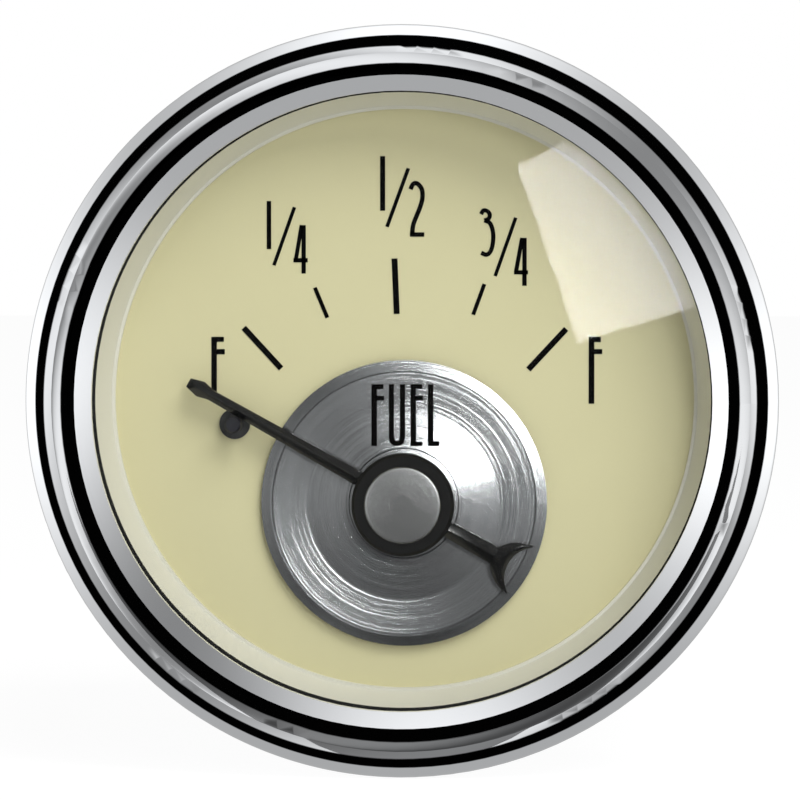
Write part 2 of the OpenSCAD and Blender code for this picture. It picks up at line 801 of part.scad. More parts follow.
module circuit_board() {
    facing() color("darkgoldenrod") difference() {
        drum(2 * board_r, board_back, board_front);
        translate([0, lamp_y, 0]) drum(lamp_d + 8 * part_gap, board_back - over, board_front + over);
        at_terminals() drum(stub_d + 2 * set_fit, board_back - over, board_front + over);
        at_pivot() at_corner_pair(-1)
            drum(move_screw_d + 2 * set_fit, board_back - over, board_front + over);
        at_resistor() for (side = [-1, 1]) translate([side * lead_x, 0, 0])
            drum(lead_d + 2 * set_fit, board_back - over, board_front + over);
    }
}

module at_resistor() {
    translate([resistor_r * cos(resistor_angle), resistor_r * sin(resistor_angle), 0]) children();
}

module resistor() {
    axis_z = board_front + resistor_d / 2 + part_gap;
    facing() color("tan") at_resistor() {
        translate([-resistor_half, 0, axis_z]) rotate([0, 90, 0])
            cylinder(d = resistor_d, h = 2 * resistor_half);
        for (side = [-1, 1]) {
            translate([side * lead_x, 0, 0]) drum(lead_d, board_back, axis_z);
            translate([side * lead_x, 0, axis_z]) sphere(d = lead_d, $fn = 32);
            translate([side * (resistor_half + lead_x) / 2, 0, axis_z]) rotate([0, 90, 0])
                cylinder(d = lead_d, h = lead_x - resistor_half, center = true);
        }
    }
}

module case() {
    facing() color("gainsboro") difference() {
        rotate_extrude($fn = 180) difference() {
            union() {
                translate([0, back_z + case_corner]) square([barrel_r, bezel_t - back_z - case_corner]);
                translate([0, back_z]) square([barrel_r - case_corner, case_corner]);
                intersection() {
                    translate([barrel_r - case_corner, back_z + case_corner]) circle(r = case_corner);
                    translate([0, back_z]) square([barrel_r, case_corner]);
                }
                translate([0, bezel_t]) square([ring_r, case_t]);
            }
            translate([0, back_in]) square([case_in, case_depth + 2 * flange_top]);
        }
        at_terminals() drum(term_hole, back_z - over, back_in + over);
        at_studs() drum(stud_d + 2 * set_fit, back_z - over, back_in + over);
        translate([0, lamp_y, 0]) drum(lamp_d + 2 * part_gap, back_z - over, back_in + over);
    }
}

module terminal_studs() {
    head_d = term_d + 2 * term_head_over;
    relief_w = 0.8;
    relief = 0.25;
    stub_past = 0.4;
    facing() color("darkkhaki") at_terminals() {
        difference() {
            shank(term_d, board_back, back_z - term_len);
            // relief that parts the free end, where a wire goes, from the thread under the nut
            washer(term_d + over, term_d - 2 * relief, term_nut_end - relief_w, term_nut_end);
        }
        drum(head_d, back_in + insulator_t, board_back);
        drum(stub_d, back_in + insulator_t, board_front + stub_past);
    }
}

module insulators_inner() {
    facing() color("saddlebrown") at_terminals() difference() {
        union() {
            drum(term_hole + 2 * sleeve_t, back_in, back_in + insulator_t);
            drum(term_hole - 2 * set_fit, back_z + face_gap, back_in);
        }
        drum(term_d + 2 * set_fit, back_z - over, board_back);
    }
}

module insulators_outer() {
    facing() color("saddlebrown") at_terminals()
        washer(term_hole + 2 * insulator_over, term_d + 2 * set_fit, back_z - insulator_t, back_z);
}

module terminal_washers() {
    facing() color("silver") at_terminals()
        washer(term_d + 2 * washer_over, term_d + 2 * set_fit, term_washer_z - washer_t,
               term_washer_z);
}

module terminal_nuts() {
    facing() color("silver") at_terminals()
        hex_nut(term_nut_af, term_d + 2 * set_fit, term_nut_end, term_nut_z);
}

module mounting_studs() {
    head_d = stud_d + 2 * stud_head_over;
    head_t = 1.2;
    facing() color("silver") at_studs() {
        shank(stud_d, back_in + head_t, back_z - stud_len);
        drum(head_d, back_in, back_in + head_t);
    }
}

module stud_nuts() {
    facing() color("silver") at_studs()
        hex_nut(nut_af, stud_d + 2 * set_fit, stud_nut_end, back_z);
}

// Quarter of the bracket's bend, on the side given by side
module bracket_bend(side) {
    outer_r = bend_r + bracket_t;
    translate([side * (leg_out - outer_r), bar_back + outer_r]) intersection() {
        difference() {
            circle(r = outer_r);
            circle(r = bend_r);
        }
        translate([side < 0 ? -outer_r : 0, -outer_r]) square(outer_r);
    }
}

module mounting_bracket() {
    outer_r = bend_r + bracket_t;
    tooth = 1.2;
    facing() color("lightgray") difference() {
        rotate([90, 0, 0]) linear_extrude(height = bracket_w, center = true) {
            translate([-leg_out + outer_r, bar_back]) square([2 * (leg_out - outer_r), bracket_t]);
            for (side = [-1, 1]) {
                bracket_bend(side);
                translate([side < 0 ? -leg_out : leg_in, bar_back + outer_r])
                    square([bracket_t, -foot_back - bar_back - outer_r]);
            }
        }
        at_studs() drum(stud_d + 2 * bolt_fit, bar_back - over, bar_front + over);
        // notches that give each foot two narrow edges to bite the panel
        for (side = [-1, 1])
            translate([side * (leg_in + leg_out) / 2, 0, -foot_back]) rotate([0, 90, 0])
                cylinder(d = bracket_w / 2, h = bracket_t + 2 * over, center = true);
    }
}

module bracket_washers() {
    facing() color("silver") at_studs()
        washer(stud_d + 2 * washer_over, stud_d + 2 * bolt_fit, bar_back - washer_t, bar_back);
}

// Bracket nut on the stud given by side
module bracket_nut(side) {
    facing() color("silver") translate([side * stud_x, 0, 0])
        hex_nut(nut_af, stud_d + 2 * run_fit, bracket_nut_z - nut_t, bracket_nut_z);
}

module bracket_nut_left() {
    bracket_nut(-1);
}

module bracket_nut_right() {
    bracket_nut(1);
}

module lamp_socket() {
    flange_z = back_z - face_gap;
    grip_d = lamp_d + 2 * part_gap;
    grip_flat = 1;
    wall = 1.1;
    facing() color([0.15, 0.15, 0.15]) translate([0, lamp_y, 0]) difference() {
        union() {
            drum(lamp_d, flange_z, back_in + lamp_barrel);
            drum(lamp_flange_d, lamp_grip_z, flange_z);
            intersection() {
                drum(grip_d, lamp_grip_z - lamp_grip, lamp_grip_z);
                // flats for the fingers
                translate([0, 0, lamp_grip_z - lamp_grip / 2])
                    cube([grip_d - 2 * grip_flat, grip_d, lamp_grip + over], center = true);
            }
        }
        drum(lamp_d - 2 * wall, lamp_floor, back_in + lamp_barrel + over);
        for (side = [-1, 1])
            translate([-contact_w / 2 - set_fit, side * contact_y - contact_t / 2 - set_fit,
                       lamp_grip_z - lamp_grip - over])
                cube([contact_w + 2 * set_fit, contact_t + 2 * set_fit,
                      lamp_floor - lamp_grip_z + lamp_grip + 2 * over]);
    }
}

module lamp_contacts() {
    tail_z = lamp_grip_z - lamp_grip - contact_tail;
    facing() color("goldenrod") translate([0, lamp_y, 0])
        for (side = [-1, 1])
            translate([-contact_w / 2, side * contact_y - contact_t / 2, tail_z])
                cube([contact_w, contact_t, lamp_floor - tail_z]);
}

module lamp_bulb() {
    glass_z = lamp_floor + bulb_base;
    base_in = 0.5;
    tip_z = back_in + lamp_barrel + bulb_len;
    facing() color([0.9, 0.9, 0.85]) translate([0, lamp_y, 0]) rotate_extrude($fn = 64) {
        translate([0, lamp_floor]) square([bulb_d / 2 - base_in, bulb_base]);
        translate([0, glass_z]) square([bulb_d / 2, tip_z - glass_z - bulb_d / 2]);
        intersection() {
            translate([0, tip_z - bulb_d / 2]) circle(d = bulb_d);
            translate([0, tip_z - bulb_d / 2]) square(bulb_d);
        }
    }
}

bezel();
lens();
lens_gasket();
light_ring();
dial_plate();
scale_marks();
center_disc();
stop_pin();
pointer_arm();
pointer_hub();
pointer_cap();
spindle();
rotor_magnet();
front_bearing();
rear_bearing();
bobbin_front();
bobbin_rear();
coil_inner();
coil_outer();
shield_can();
dial_posts();
dial_screws();
movement_screws();
circuit_board();
resistor();
case();
terminal_studs();
insulators_inner();
insulators_outer();
terminal_washers();
terminal_nuts();
mounting_studs();
stud_nuts();
mounting_bracket();
bracket_washers();
bracket_nut_left();
bracket_nut_right();
lamp_socket();
lamp_bulb();
lamp_contacts();
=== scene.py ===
# %% [markdown]
# # Dressing an electric fuel gauge
#
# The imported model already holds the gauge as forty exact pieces: bezel, glass, dial, pointer,
# movement, case, terminals and bracket. Alike screws or studs count as one piece. This lesson
# gives every piece its finish, remakes the few whose charm lies in fine detail, such as
# threads, and adds the print. A small studio lights them. The scene is in metres, and the face
# looks along -Y, with +Z up.

import json
import math

import bmesh
import bpy
import numpy as np
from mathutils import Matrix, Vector

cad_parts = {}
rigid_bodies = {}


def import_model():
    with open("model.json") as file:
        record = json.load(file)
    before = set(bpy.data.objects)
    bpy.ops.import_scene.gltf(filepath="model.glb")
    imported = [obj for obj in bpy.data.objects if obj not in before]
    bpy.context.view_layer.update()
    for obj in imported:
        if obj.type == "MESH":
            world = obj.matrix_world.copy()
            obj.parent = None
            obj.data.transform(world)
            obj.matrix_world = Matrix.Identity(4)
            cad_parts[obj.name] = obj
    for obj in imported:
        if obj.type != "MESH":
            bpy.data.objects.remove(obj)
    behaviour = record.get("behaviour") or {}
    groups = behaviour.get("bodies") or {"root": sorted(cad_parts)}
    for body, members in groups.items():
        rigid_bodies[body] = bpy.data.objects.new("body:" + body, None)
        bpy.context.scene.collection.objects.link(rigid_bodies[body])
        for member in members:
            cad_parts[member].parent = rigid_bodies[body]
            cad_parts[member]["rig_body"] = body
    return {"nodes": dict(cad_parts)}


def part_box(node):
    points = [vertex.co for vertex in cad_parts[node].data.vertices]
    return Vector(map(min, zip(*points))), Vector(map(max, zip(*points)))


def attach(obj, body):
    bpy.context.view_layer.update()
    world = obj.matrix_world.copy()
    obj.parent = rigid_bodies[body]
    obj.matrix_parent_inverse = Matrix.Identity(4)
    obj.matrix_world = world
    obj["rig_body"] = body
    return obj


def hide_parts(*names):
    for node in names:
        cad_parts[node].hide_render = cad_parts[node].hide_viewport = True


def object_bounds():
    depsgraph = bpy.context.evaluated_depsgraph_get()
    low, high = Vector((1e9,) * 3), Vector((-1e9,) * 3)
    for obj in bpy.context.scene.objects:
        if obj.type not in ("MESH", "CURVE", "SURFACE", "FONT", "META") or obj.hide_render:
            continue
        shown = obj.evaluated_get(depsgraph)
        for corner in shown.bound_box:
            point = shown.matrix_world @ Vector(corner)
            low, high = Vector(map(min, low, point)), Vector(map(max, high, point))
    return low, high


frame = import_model()
cad_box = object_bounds()
print("gauge, mm:", [round(1000 * (high - low), 2) for low, high in zip(*cad_box)])

# %% [markdown]
# ## Levels of the gauge
#
# New pieces must land on the pieces that carry them. A drawing of the face is easiest with x to
# the right, y up and z towards the viewer, in millimetres, so one helper turns such points
# into the frame. The levels are read from the frame's own boxes wherever a box gives them.

# %% Millimetres on the face
MM = 0.001


def from_face(points):
    """Points (x right, y up, z to the viewer) in mm become (x, -z, y) in metres."""
    x, y, z = np.moveaxis(np.asarray(points, float), -1, 0)
    return np.stack([x, -z, y], -1) * MM


def front_level(node):
    """How far the node's foremost point lies in front of the panel, in mm."""
    return -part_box(node)[0].y / MM


def rear_level(node):
    """How far the node's rearmost point lies in front of the panel, in mm (negative behind)."""
    return -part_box(node)[1].y / MM


# The collar round the disc's hole stands this much over its face, in mm
DISC_COLLAR = 0.25

dial_top = front_level("dial_plate")
disc_top = front_level("center_disc") - DISC_COLLAR
back_z = rear_level("case")
cap_low, cap_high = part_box("pointer_cap")
pivot_y = (cap_low.z + cap_high.z) / 2 / MM
print("dial", round(dial_top, 3), "disc", round(disc_top, 3), "case back", round(back_z, 3),
      "pivot", round(pivot_y, 3))

# %% [markdown]
# ## Camera
#
# The photograph was taken from a little above and to the right of the gauge's axis. Fitting
# the dial's circle inside the bezel's circle gives 2.37 degrees both ways, and a distance
# of 400 mm gives the slight narrowing of the dial behind the bezel.

# %% Place the camera
CAMERA_TURN = math.radians(2.37)
CAMERA_RISE = math.radians(2.37)
CAMERA_DISTANCE = 0.4
SENSOR = 36.0
# Focal length in pixels over the width of the picture in pixels
FOCAL_RATIO = 4996 / 800

bpy.context.scene.view_settings.view_transform = "Standard"

camera_data = bpy.data.cameras.new("photo_camera")
camera_data.sensor_width = SENSOR
camera_data.lens = SENSOR * FOCAL_RATIO
camera_data.clip_start = 0.01
camera = bpy.data.objects.new("photo_camera", camera_data)
bpy.context.scene.collection.objects.link(camera)
bpy.context.scene.camera = camera

# The camera looks at this point of the gauge's axis, just inside the front of the bezel, and is
# moved by the little that the photograph is off its middle
BEZEL_MIDDLE = Vector((0, -0.00685, 0))
PHOTO_SHIFT = Vector((-0.00011, 0, 0.000136))
aim = BEZEL_MIDDLE + PHOTO_SHIFT
towards_camera = Vector((math.sin(CAMERA_TURN) * math.cos(CAMERA_RISE),
                         -math.cos(CAMERA_TURN) * math.cos(CAMERA_RISE),
                         math.sin(CAMERA_RISE)))
camera.location = aim + CAMERA_DISTANCE * towards_camera
camera.rotation_euler = (-towards_camera).to_track_quat("-Z", "Y").to_euler()
print("lens", round(camera_data.lens, 1), "mm at", [round(v, 4) for v in camera.location])

# %% [markdown]
# ## Shader sums in Python
#
# A finish is a small calculation that is done again at each point of a surface. Drawn as
# nodes it is hard to read, so here a socket is wrapped in a class that knows + - * / and **.
# Each sign adds one Math node, `Sheet.math` adds one for the functions that have no sign, and
# `Sheet.make` adds any other kind of node.

# %% Wires and sheets


class Wire:
    """One output socket of a shader, which can be used in sums like a number."""

    def __init__(self, sheet, socket):
        self.sheet = sheet
        self.socket = socket

    def __getitem__(self, name):
        return Wire(self.sheet, self.socket.node.outputs[name])

    def __add__(self, other):
        return self.sheet.math("ADD", self, other)

    __radd__ = __add__

    def __sub__(self, other):
        return self.sheet.math("SUBTRACT", self, other)

    def __rsub__(self, other):
        return self.sheet.math("SUBTRACT", other, self)

    def __mul__(self, other):
        return self.sheet.math("MULTIPLY", self, other)

    __rmul__ = __mul__

    def __truediv__(self, other):
        return self.sheet.math("DIVIDE", self, other)

    def __pow__(self, other):
        return self.sheet.math("POWER", self, other)

    def __neg__(self):
        return self.sheet.math("MULTIPLY", self, -1)

    def rise(self, low, high):
        """0 below low, 1 above high, and a smooth step between them."""
        return self.sheet.make("ShaderNodeMapRange", {"interpolation_type": "SMOOTHSTEP"},
                               {"Value": self, "From Min": low, "From Max": high})


class Sheet:
    """The node tree of one material or world."""

    def __init__(self, tree):
        self.tree = tree
        tree.nodes.clear()

    def make(self, kind, settings=None, inputs=None, output=0):
        """Adds a node: its settings first, then its inputs, and gives one output as a Wire."""
        node = self.tree.nodes.new(kind)
        for name, value in (settings or {}).items():
            setattr(node, name, value)
        for name, value in (inputs or {}).items():
            if isinstance(value, Wire):
                self.tree.links.new(value.socket, node.inputs[name])
            else:
                node.inputs[name].default_value = value
        return Wire(self, node.outputs[output]) if len(node.outputs) else None

    def math(self, operation, *terms):
        """A Math node on numbers or Wires."""
        return self.make("ShaderNodeMath", {"operation": operation}, dict(enumerate(terms)))

    def place(self):
        """The point's own place on the object, in metres."""
        return self.make("ShaderNodeTexCoord", output="Object")

    def split(self, vector):
        """The x, y and z of a vector, as three numbers."""
        parts = self.make("ShaderNodeSeparateXYZ", inputs={0: vector})
        return parts["X"], parts["Y"], parts["Z"]

    def join(self, x, y, z):
        """A vector from three numbers."""
        return self.make("ShaderNodeCombineXYZ", inputs={0: x, 1: y, 2: z})

    def noise(self, vector, scale, detail=2.0, distortion=0.0):
        """Soft random patches from 0 to 1, about 1 / scale metres across."""
        return self.make("ShaderNodeTexNoise", inputs={
            "Vector": vector, "Scale": scale, "Detail": detail, "Distortion": distortion})

    def mix(self, share, first, second):
        """first where share is 0, second where it is 1, for colours."""
        return self.make("ShaderNodeMix", {"data_type": "RGBA"},
                         {0: share, 6: first, 7: second}, output=2)

    def blend(self, share, first, second):
        """The same for two whole shaders."""
        return self.make("ShaderNodeMixShader", inputs={0: share, 1: first, 2: second})

    def bump(self, height, distance):
        """A normal that leans as if the surface rose by height times distance, in metres."""
        return self.make("ShaderNodeBump", inputs={"Height": height, "Distance": distance})

    def surface(self, shader):
        """Sends a shader to the output of a material."""
        self.make("ShaderNodeOutputMaterial", inputs={"Surface": shader})

    def principled(self, **inputs):
        """The general surface, with sockets named in words joined by underscores."""
        return self.make("ShaderNodeBsdfPrincipled", inputs={
            name.replace("_", " "): value for name, value in inputs.items()})


def linear(red, green, blue):
    """A screen colour, 0 to 255, as the light that a shader works with."""
    parts = np.array([red, green, blue]) / 255
    light = np.where(parts < 0.04045, parts / 12.92, ((parts + 0.055) / 1.055) ** 2.4)
    return (*light.tolist(), 1.0)


def grey(level):
    """A grey by its share of the light."""
    return (level, level, level, 1)


# %% [markdown]
# ## Studio
#
# Chrome is a mirror, so its look is the look of the room. The photograph shows a bright area
# round the lens, a dark ring outside it, and bright walls at the sides and above but not
# in the corners. The world paints that room for glossy rays only. Rays that light matt
# surfaces see one plain level, and the camera sees white.

# %% Room for the reflections
LENS_AREA = math.radians(31)
# The bright area is not quite centred on the gauge: its middle lies to the left and below
LENS_AREA_MIDDLE = Vector((-0.10, -1, -0.075)).normalized()
DARK_RING_END = math.radians(77)
EDGE = math.radians(2.5)
# Between these angles the area near the lens passes into the walls, and the walls into the rear
WALLS_START, WALLS_FULL = math.radians(50), math.radians(65)
REAR_START, REAR_FULL = math.radians(135), math.radians(165)
# Level in the corners, and what is added towards the sides, above and below
NEAR_LENS, NEAR_LENS_LOBES = 0.16, 0.74
WALLS, WALLS_LOBES = 0.42, 0.78
LOBE_POWER = 8
DARK_LEVEL = 0.0005
REAR_LEVEL = 0.45
# Level that matt surfaces see
AMBIENT = 0.20
WHITE = grey(1)
# Keeps the lean to a side above zero straight ahead and straight behind
TINY = 1e-6


def studio_room():
    """Brightness by angle from -Y, theta, and by the side that a direction leans to."""
    world = bpy.data.worlds.new("studio_room")
    bpy.context.scene.world = world
    world.use_nodes = True
    sheet = Sheet(world.node_tree)
    x, y, z = sheet.split(sheet.make("ShaderNodeTexCoord", output="Generated"))
    theta = sheet.math("ARCCOSINE", -y)
    lean = sheet.math("SQRT", x * x + z * z + TINY)
    across = (x / lean) ** LOBE_POWER
    along = (z / lean) ** LOBE_POWER
    above = (sheet.math("MAXIMUM", z, 0) / lean) ** LOBE_POWER
    near_lens = NEAR_LENS + NEAR_LENS_LOBES * (across + along)
    walls = WALLS + WALLS_LOBES * (across + above)
    middle = LENS_AREA_MIDDLE
    from_middle = sheet.math("ARCCOSINE", x * middle.x + y * middle.y + z * middle.z)
    dark = from_middle.rise(LENS_AREA - EDGE, LENS_AREA + EDGE) \
        * (1 - theta.rise(DARK_RING_END - EDGE, DARK_RING_END + EDGE))
    beyond = theta.rise(WALLS_START, WALLS_FULL)
    rear = theta.rise(REAR_START, REAR_FULL)
    room = near_lens * (1 - beyond) + walls * beyond
    room = room * (1 - dark) + DARK_LEVEL * dark
    room = room * (1 - rear) + REAR_LEVEL * rear

    def light(level):
        return sheet.make("ShaderNodeBackground", inputs={"Color": WHITE, "Strength": level})

    rays = sheet.make("ShaderNodeLightPath")
    mirrored = sheet.math("MAXIMUM", rays["Is Glossy Ray"], rays["Is Transmission Ray"])
    lit = sheet.blend(mirrored, light(AMBIENT), light(room))
    sheet.make("ShaderNodeOutputWorld",
               inputs={"Surface": sheet.blend(rays["Is Camera Ray"], lit, light(1.0))})
    print("room of", len(world.node_tree.nodes), "nodes")


studio_room()

# %% [markdown]
# ## Lamps
#
# The pale four-sided patch on the glass is the key light itself, seen in the dome. Its
# corners give the direction and the turn of the softbox. The sheen and the gleam hang in the
# same place, and a cell near the end says which pieces each of the lamps lights. The bezel
# stands in the way of the top light, which shades the top of the dial.

# %% Softbox, top light and edge light


def area_lamp(name, place, size, watts, roll=0.0, seen=True):
    """A flat lamp of size (width, height) at place, facing the origin, turned by roll."""
    data = bpy.data.lights.new(name, "AREA")
    data.shape = "RECTANGLE"
    data.size, data.size_y = size
    data.energy = watts
    lamp = bpy.data.objects.new(name, data)
    lamp.location = place
    lamp.rotation_euler = (-place).to_track_quat("-Z", "Y").to_euler()
    lamp.rotation_euler.rotate_axis("Z", roll)
    lamp.visible_glossy = seen
    lamp.visible_transmission = seen
    bpy.context.scene.collection.objects.link(lamp)
    return lamp


SOFTBOX_PLACE = 0.5 * Vector((0.324, -1.0, 0.25))
SOFTBOX_SIZE = (0.12, 0.165)
SOFTBOX_ROLL = math.radians(16)
SOFTBOX_WATTS, SHEEN_WATTS, GLEAM_WATTS = 0.52, 5.8, 2.6
TOP_PLACE = 0.6 * Vector((0.370, -0.616, 0.696))
TOP_SIZE = (0.36, 0.36)
TOP_WATTS = 2.6
EDGE_PLACE = 0.6 * Vector((0.294, -0.809, 0.509))
EDGE_SIZE = (0.16, 0.16)
EDGE_WATTS = 8.0

# The sheen and the gleam stand a little in front, because a mirror ray sees only the nearest
# of several lamps in one place
softbox, sheen, gleam = [
    area_lamp(name, nearer * SOFTBOX_PLACE, SOFTBOX_SIZE, watts, roll=SOFTBOX_ROLL)
    for name, nearer, watts in (("softbox", 1.0, SOFTBOX_WATTS),
                                ("softbox_sheen", 0.99, SHEEN_WATTS),
                                ("softbox_gleam", 0.98, GLEAM_WATTS))]
area_lamp("top_light", TOP_PLACE, TOP_SIZE, TOP_WATTS, seen=False)
edge_light = area_lamp("edge_light", EDGE_PLACE, EDGE_SIZE, EDGE_WATTS)

# %% [markdown]
# ## Flag
#
# In the photograph the chrome is dull at the bottom alone, and so is the lower part of the
# disc. Something dark stood close in front there. A studio would use a flag: a thin grey
# sheet, which only mirror rays meet here.

# %% Hang the flag
FLAG_WAY = 0.052
FLAG_LEFT, FLAG_RIGHT = -0.012, 0.012
FLAG_LOW, FLAG_HIGH = -0.060, -0.004
FLAG_LETS_THROUGH = 0.25


def flat_sheet(name, corners, look):
    """A studio sheet with four corners and a new material, which is given with its nodes."""
    mesh = bpy.data.meshes.new(name)
    mesh.from_pydata(corners, [], [(0, 1, 2, 3)])
    board = bpy.data.objects.new(name, mesh)
    bpy.context.scene.collection.objects.link(board)
    material = bpy.data.materials.new(look)
    material.use_nodes = True
    mesh.materials.append(material)
    return board, Sheet(material.node_tree)


def hang_flag():
    """An upright grey sheet before the lower half of the gauge."""
    flag, sheet = flat_sheet(
        "flag", [(FLAG_LEFT, -FLAG_WAY, FLAG_LOW), (FLAG_RIGHT, -FLAG_WAY, FLAG_LOW),
                 (FLAG_RIGHT, -FLAG_WAY, FLAG_HIGH), (FLAG_LEFT, -FLAG_WAY, FLAG_HIGH)],
        "grey_cloth")
    sheet.surface(sheet.make("ShaderNodeBsdfTransparent",
                             inputs={"Color": grey(FLAG_LETS_THROUGH)}))
    flag.visible_camera = False
    flag.visible_diffuse = False
    flag.visible_shadow = False


hang_flag()

# %% [markdown]
# ## Floor
#
# A pale floor lies just under the bezel. It is left out of glossy rays, because in the
# photograph the chrome shows the dark ring right down to its lowest point.

# %% Lay the floor
FLOOR_SIZE = 3.0
FLOOR_PAINT = 0.92
# Share of a plain glow that lifts the floor to the white of the picture for the camera alone
FLOOR_LIFT = 0.86
FLOOR_GLOW = 1.1


def pale_floor():
    """A wide square at the bottom of the gauge's box."""
    half = FLOOR_SIZE / 2
    level = cad_box[0].z
    floor, sheet = flat_sheet(
        "floor", [(-half, -half, level), (half, -half, level), (half, half, level),
                  (-half, half, level)],
        "pale_floor")
    matt = sheet.make("ShaderNodeBsdfDiffuse", inputs={"Color": grey(FLOOR_PAINT)})
    glow = sheet.make("ShaderNodeEmission",
                      inputs={"Color": WHITE, "Strength": FLOOR_GLOW})
    rays = sheet.make("ShaderNodeLightPath")
    sheet.surface(sheet.blend(rays["Is Camera Ray"] * FLOOR_LIFT, matt, glow))
    floor.visible_glossy = False


pale_floor()

# %% [markdown]
# ## Finishes
#
# One dictionary keeps the finishes under the names of the record's material slots. A helper
# starts a material, and each finish below is a few lines of sums.

# %% Start a finish
FINISHES = {}


def finish(slot):
    """An empty material, named for its slot, with a sheet to work on."""
    material = bpy.data.materials.new(slot)
    material.use_nodes = True
    FINISHES[slot] = material
    return Sheet(material.node_tree)


# %% [markdown]
# ### Chrome and glass
#
# Chrome plate is a mirror with the faint waves of polishing. The glass is drawn as a clear
# sheet with a reflection mixed in. Seen straight the share is small, as on a coated lens, so
# that the print behind stays black. It grows with the fifth power of one less the cosine of
# the angle, the same from both faces of the glass.

# %% Bezel chrome
sheet = finish("bezel_chrome")
polish = sheet.noise(sheet.place(), 260, 3)
smear = sheet.noise(sheet.place(), 45, 2)
sheet.surface(sheet.principled(
    Base_Color=sheet.mix(smear, (0.88, 0.90, 0.93, 1), (0.93, 0.94, 0.95, 1)),
    Metallic=1.0, Roughness=0.02 + 0.03 * smear, Normal=sheet.bump(polish, 2e-7)))

# %% Clear glass
GLASS_SHARE = 0.002
sheet = finish("lens_glass")
clear = sheet.make("ShaderNodeBsdfTransparent", inputs={"Color": (0.985, 0.99, 0.985, 1)})
shine = sheet.make("ShaderNodeBsdfAnisotropic", inputs={"Roughness": 0.0})
facing = sheet.make("ShaderNodeLayerWeight", inputs={"Blend": 0.5})["Facing"]
sheet.surface(sheet.blend(GLASS_SHARE + (1 - GLASS_SHARE) * facing ** 5, clear, shine))

# %% [markdown]
# ### Face of the gauge
#
# The dial is sprayed a warm cream, with the very fine unevenness of paint. The light ring is
# a satin plastic that spreads the lamp's light over the dial. The print is a dense matt ink.

# %% Cream paint
sheet = finish("cream_paint")
spray = sheet.noise(sheet.place(), 6000, 2)
cloud = sheet.noise(sheet.place(), 70, 2)
sheet.surface(sheet.principled(
    Base_Color=sheet.mix(cloud, linear(216, 209, 166), linear(221, 215, 173)),
    Roughness=0.5 + 0.12 * spray, Normal=sheet.bump(spray, 4e-6)))

# %% Satin plastic of the light ring
sheet = finish("pale_plastic")
grain = sheet.noise(sheet.place(), 5000, 2)
cloud = sheet.noise(sheet.place(), 60, 2)
sheet.surface(sheet.principled(
    Base_Color=sheet.mix(cloud, linear(222, 219, 206), linear(230, 228, 216)),
    Roughness=0.28 + 0.08 * grain, Normal=sheet.bump(grain, 2e-6)))

# %% Black ink
sheet = finish("black_ink")
edge = sheet.noise(sheet.place(), 9000, 2)
sheet.surface(sheet.principled(
    Base_Color=sheet.mix(edge, (0.0015, 0.0014, 0.0014, 1), (0.003, 0.003, 0.003, 1)),
    Roughness=0.5 + 0.2 * edge, Specular_IOR_Level=0.03))

# %% [markdown]
# ### Turned metal
#
# The disc and the cap were faced on a lathe, which leaves fine rings round the pivot. Such
# rings throw the light out in rays across them. The rings are a bump that depends on
# the distance from the pivot alone, so the same rays appear by themselves.

# %% Rings round the pivot


def from_pivot(sheet):
    """The distance from the pivot, in metres."""
    x, y, z = sheet.split(sheet.place())
    up = z - pivot_y * MM
    return sheet.math("SQRT", x * x + up * up)


def ring_noise(sheet, radius, per_metre, detail=2.0):
    """Noise that changes only with the distance from the pivot, like the marks of a lathe."""
    return sheet.noise(sheet.join(radius, 0, 0), per_metre, detail)


# Fine rings, marks and broad rings, per metre
FINE, MARKS, BROAD = 26000, 5000, 1400

# %% Brushed disc
# The disc is pressed a little round: its face leans outwards as far as this radius, and
# slightly inwards beyond it
ROUND_TO = 0.0078
LEAN = math.tan(math.radians(6))
DISH = math.tan(math.radians(1.2))
# A painted dark line stands for the shade in the groove that is turned just inside the bevel of
# the disc's rim, in metres
GROOVE_FROM_RIM = 0.00092
GROOVE_W = 0.00011
GROOVE_SHADE = 0.75

disc_low, disc_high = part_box("center_disc")
groove_r = (disc_high.x - disc_low.x) / 2 - GROOVE_FROM_RIM

sheet = finish("brushed_disc")
radius = from_pivot(sheet)
fine = ring_noise(sheet, radius, FINE)
marks = ring_noise(sheet, radius, MARKS)
broad = ring_noise(sheet, radius, BROAD, 3)
groove = radius.rise(groove_r - GROOVE_W, groove_r) \
    * (1 - radius.rise(groove_r, groove_r + GROOVE_W))
face = sheet.math("MINIMUM", radius, ROUND_TO) * -LEAN \
    + sheet.math("MAXIMUM", radius - ROUND_TO, 0) * DISH
metal = sheet.mix(broad, (0.25, 0.255, 0.265, 1), (0.30, 0.305, 0.315, 1))
# In the groove the metal is painted near black: painted shade
sheet.surface(sheet.principled(
    Base_Color=sheet.mix(GROOVE_SHADE * groove, metal, (0.02, 0.02, 0.021, 1)),
    Metallic=1.0, Roughness=0.21 + 0.03 * broad,
    Normal=sheet.bump(face + fine * 1.4e-5 + marks * 0.1e-5, 1.0)))

# %% Turned cap
# The middle of the cap stays smooth, because the rings there are too tight to see
SMOOTH_TO, RINGS_FROM = 0.0004, 0.001

sheet = finish("turned_cap")
radius = from_pivot(sheet)
fine = ring_noise(sheet, radius, FINE)
marks = ring_noise(sheet, radius, MARKS)
rings = fine * radius.rise(SMOOTH_TO, RINGS_FROM)
sheet.surface(sheet.principled(
    Base_Color=sheet.mix(marks, (0.50, 0.505, 0.51, 1), (0.58, 0.58, 0.59, 1)),
    Metallic=1.0, Roughness=0.26, Normal=sheet.bump(rings, 5e-6)))

# %% [markdown]
# ### Blacks
#
# The pointer is painted satin black, the hub is moulded, and the stop post is blued steel.
# They differ by gloss more than by colour.

